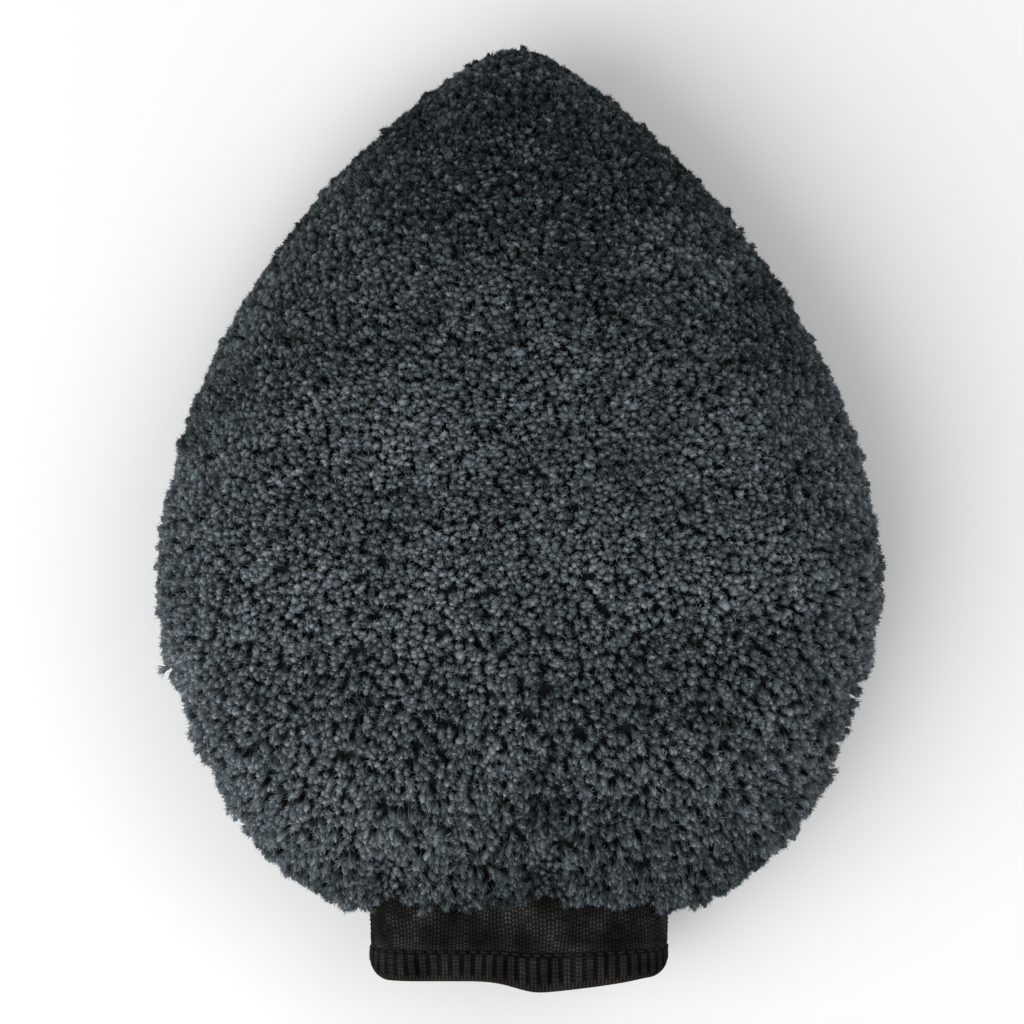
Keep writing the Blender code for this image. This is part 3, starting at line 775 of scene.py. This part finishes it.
def cuff_knit(material):
    """One closed tube: rib knit outside, its hem turned up inside over the elastic."""
    share = cuff_shares()
    rim = HEM_WALL / 2
    low = np.linspace(0, rim, 6)[1:]
    outside = np.concatenate([np.arange(rim, MOUTH_Y - HEM_Y + 0.001, KNIT_ROW),
                              np.linspace(MOUTH_Y - HEM_Y + 0.002, CUFF_TOP_Y - HEM_Y, 7)])
    turn = np.linspace(0, math.pi, 11)[1:-1]
    fold_inset, fold_above = rim + rim * np.cos(turn), rim - rim * np.sin(turn)
    hem_top = STITCH_ABOVE_HEM + 0.0013
    ply = np.linspace(rim, hem_top, 12)
    inner = np.linspace(hem_top + 0.0012, CUFF_TOP_Y - HEM_Y, 24)
    inset = np.concatenate([np.full(len(ply), HEM_WALL)[::-1], fold_inset, np.zeros(len(outside)),
                            np.full(len(inner), CUFF_WALL)[::-1]])
    above = np.concatenate([ply[::-1], fold_above, outside, inner[::-1]])
    columns, rows = len(share), len(above)
    across, up, out_x, out_z = section(share, 0.0)
    around = share * CUFF_GIRTH
    rise = hem_rise(across)
    relief, openness = knit_relief(np.broadcast_to(around, (rows, columns)),
                                   np.broadcast_to(above[:, None], (rows, columns)))
    outer = (1 - smooth(inset / rim))[:, None]
    inner_stitch = stitches(np.broadcast_to(around, (rows, columns)), above[:, None], INNER_STITCH,
                            INNER_STITCH, 1.0)
    height = relief * outer - 0.0002 * inner_stitch * (1 - outer)
    depth = inset[:, None] - height
    points = np.stack([across - out_x * depth, HEM_Y + above[:, None] + rise * settled(above)[:, None],
                       SEAM_Z + up - out_z * depth], axis=-1)
    tone = 0.5 + 0.18 * patches(points.reshape(-1, 3), 0.010, 13) + rng.normal(0, 0.12, rows * columns)
    # Painted shade: outside by the openness, and a fixed dark share with stitch marks on the cuff's inner
    # face.
    light = openness * outer + 0.35 * (1 - outer) * (0.5 + 0.5 * inner_stitch)
    uv = np.stack([np.clip(tone, 0.01, 0.99), np.clip(light.ravel(), 0, 1) * 0.96 + 0.02], axis=-1)
    quads = grid_faces(rows + 1, columns, True) % (rows * columns)
    cuff = mesh_object("cuff_rib_knit", points.reshape(-1, 3), quads[:, ::-1].ravel(),
                       np.full(len(quads), 4), uv)
    return finished(cuff, material, "rib_knit", "cuff_knit_tube")


def hem_stitching(material):
    """Short stitches of thread round the cuff, sunk between the hem's ribs and the knit above."""
    share = np.arange(0, 1, HEM_STITCH / CUFF_GIRTH)
    reach = np.linspace(-0.45, 0.45, 6) * (share[1] - share[0])
    dip = np.array([0.0007, 0.0001, -0.0001, -0.0001, 0.0001, 0.0007])
    across, up, out_x, out_z = section(share[:, None] + reach, 0.0)
    rise = hem_rise(across) * settled(STITCH_ABOVE_HEM)
    spine = np.stack([across - out_x * (dip + THREAD_SUNK), HEM_Y + STITCH_ABOVE_HEM + rise,
                      SEAM_Z + up - out_z * (dip + THREAD_SUNK)], axis=-1)
    radii = THREAD_RADIUS * np.array([0.5, 1.0, 1.0, 1.0, 0.7])[None, :, None] * np.ones((len(share), 1, 8))
    points, corners, sizes = tubes(spine, np.tile([[0.0, 1.0, 0.0]], (len(share), 1)), radii,
                                   np.zeros(len(share)))
    piece = mesh_object("cuff_hem_stitching", points, corners, sizes)
    return finished(piece, material, "sewing_thread", "cuff_hem_thread")


def elastic_band(material):
    """A flat woven loop that lies in the hem and follows its edge."""
    columns = 240
    share = np.arange(columns) / columns
    corner_inset = BAND_INSET + np.array([0, 0, 1, 1]) * BAND_THICKNESS
    corner_above = BAND_ABOVE_HEM + np.array([0, 1, 1, 0]) * BAND_DEPTH
    rings = []
    for inset, above in zip(corner_inset, corner_above):
        across, up, _, _ = section(share, inset)
        rise = hem_rise(section(share, 0.0)[0]) * settled(above)
        rings.append(np.stack([across, HEM_Y + above + rise, SEAM_Z + up], axis=-1))
    quads = grid_faces(len(rings) + 1, columns, True) % (len(rings) * columns)
    piece = mesh_object("cuff_elastic", np.concatenate(rings), quads[:, ::-1].ravel(),
                        np.full(len(quads), 4), rounded=False)
    return finished(piece, material, "elastic", "cuff_elastic_band")


# ---- Inside the mitt ----------------------------------------------------------------------------

INNER_ROWS, INNER_COLUMNS = 90, 160
LINING_FROM_CUFF = 0.0006      # gap between the lining's mouth and the cuff's inner face
WADDING_TOP, WADDING_FOOT, WADDING_SIDE = 3, 10, 5      # rows and columns left free at the wadding's edges


def lining(material):
    """The hand pocket's two lining panels, a little creased, from the tip to inside the cuff."""
    rows, columns = INNER_ROWS, INNER_COLUMNS
    grid = sock(rows, columns, REACH - LINING_INSET, CUFF_TOP_Y - 0.002, CUFF_WALL + LINING_FROM_CUFF)
    flat = grid.reshape(-1, 3)
    middle = np.array([0.0, 0.0, SEAM_Z])
    inward = middle - flat * [1, 0, 1]
    inward /= np.linalg.norm(inward, axis=1, keepdims=True)
    free = smooth((1 - np.repeat(np.arange(rows), columns) / rows) / 0.12)
    crease = 0.0006 * (patches(flat, 0.028, 21) + 0.5 * patches(flat, 0.011, 22)) + 0.0008
    grid = (flat + inward * (crease * free)[:, None]).reshape(grid.shape)
    half = columns // 2
    for panel, chosen in (("palm", np.arange(half + 1)), ("back", np.arange(half, columns + 1))):
        own = grid[:, chosen % columns].reshape(-1, 3)
        piece = shell(f"{panel}_pocket_lining", own, grid_faces(rows, half + 1, False), LINING_DEPTH)
        finished(piece, material, "lining_fabric", f"{panel}_lining")


def wadding(material):
    """A lumpy pad behind each panel, short of the seam and the cuff."""
    rows, columns = INNER_ROWS, INNER_COLUMNS
    grid = sock(rows, columns, REACH - PADDING_INSET, MOUTH_Y + 0.012, -0.0030)
    half = columns // 2
    for panel, start in (("palm", 0), ("back", half)):
        own = grid[WADDING_TOP:rows - WADDING_FOOT, start + WADDING_SIDE:start + half - WADDING_SIDE + 1]
        lumps = 0.0003 * patches(own.reshape(-1, 3), 0.016, 31)
        lifted = own.reshape(-1, 3) + lumps[:, None] * [0, 0, 1]
        piece = shell(f"{panel}_wadding", lifted, grid_faces(own.shape[0], own.shape[1], False),
                      PADDING_DEPTH, 0.0)
        finished(piece, material, "wadding", f"{panel}_padding")


# ---- Studio -------------------------------------------------------------------------------------

FRAME_WIDTH = 0.2932           # of the picture, at the seam's height
LENS = 135
SENSOR = 36
CAMERA_X, CAMERA_Y = -0.0020, 0.0021
FLOOR_REACH = 3.0
FLOOR_COLOUR = (0.93, 0.93, 0.93, 1)
SKY_STRENGTH = 0.57
LIGHTS = (("key", (-0.85, -0.62, 1.05), 1.8, 18.0), ("fill", (0.8, 0.3, 1.2), 1.0, 3.0))
AIM = (0, -0.02, SEAM_Z)


def studio():
    """A pale floor, soft light from the lower left, and the camera straight above."""
    scene = bpy.context.scene
    scene.view_settings.view_transform = "Standard"
    floor_mesh = bpy.data.meshes.new("floor")
    signs = ((-1, -1), (1, -1), (1, 1), (-1, 1))
    floor_mesh.from_pydata([(east * FLOOR_REACH, north * FLOOR_REACH, FLOOR_Z) for east, north in signs], [],
                           [(0, 1, 2, 3)])
    floor = bpy.data.objects.new("floor", floor_mesh)
    scene.collection.objects.link(floor)
    floor_material, _, shader = new_material("floor", 0.9)
    shader.inputs["Base Color"].default_value = FLOOR_COLOUR
    floor_mesh.materials.append(floor_material)

    world = bpy.data.worlds.new("studio")
    scene.world = world
    world.use_nodes = True
    background = world.node_tree.nodes["Background"]
    background.inputs["Color"].default_value = (1, 1, 1, 1)
    background.inputs["Strength"].default_value = SKY_STRENGTH

    for name, place, size, power in LIGHTS:
        light = bpy.data.lights.new(name, "AREA")
        light.shape = "DISK"
        light.size = size
        light.energy = power
        made = bpy.data.objects.new(name, light)
        made.location = place
        aim = Vector(AIM) - Vector(place)
        made.rotation_euler = aim.to_track_quat("-Z", "Y").to_euler()
        scene.collection.objects.link(made)

    lens = bpy.data.cameras.new("camera")
    lens.lens = LENS
    lens.sensor_width = SENSOR
    lens.clip_start = 0.05
    camera = bpy.data.objects.new("camera", lens)
    camera.location = (CAMERA_X, CAMERA_Y, SEAM_Z + FRAME_WIDTH * LENS / SENSOR)
    scene.collection.objects.link(camera)
    scene.camera = camera


studio()
skin_grid, skin_quads = ground_fabric()
pile_pieces = pile(skin_grid, skin_quads, pile_material())
backing = cloth_material("ground_fabric", (0.014, 0.017, 0.019), (0.034, 0.039, 0.042), 900, 0.95, "")
ground_pieces(skin_grid, backing)
thread = cloth_material("sewing_thread", (0.004, 0.004, 0.004), (0.016, 0.015, 0.014), 1500, 0.6, "Z")
cuff_knit(knit_material())
hem_stitching(thread)
elastic_band(cloth_material("elastic", (0.25, 0.25, 0.24), (0.75, 0.75, 0.72), 800, 0.7, "YX"))
wadding(cloth_material("wadding", (0.55, 0.55, 0.53), (0.80, 0.80, 0.78), 300, 0.95, ""))
lining(cloth_material("lining_fabric", (0.030, 0.031, 0.033), (0.075, 0.078, 0.082), 1100, 0.75, "XY"))
for node in ("perimeter_seam_thread", "mouth_seam_thread"):
    hidden_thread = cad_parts[node]
    hidden_thread.data.materials.clear()
    hidden_thread.data.materials.append(thread)
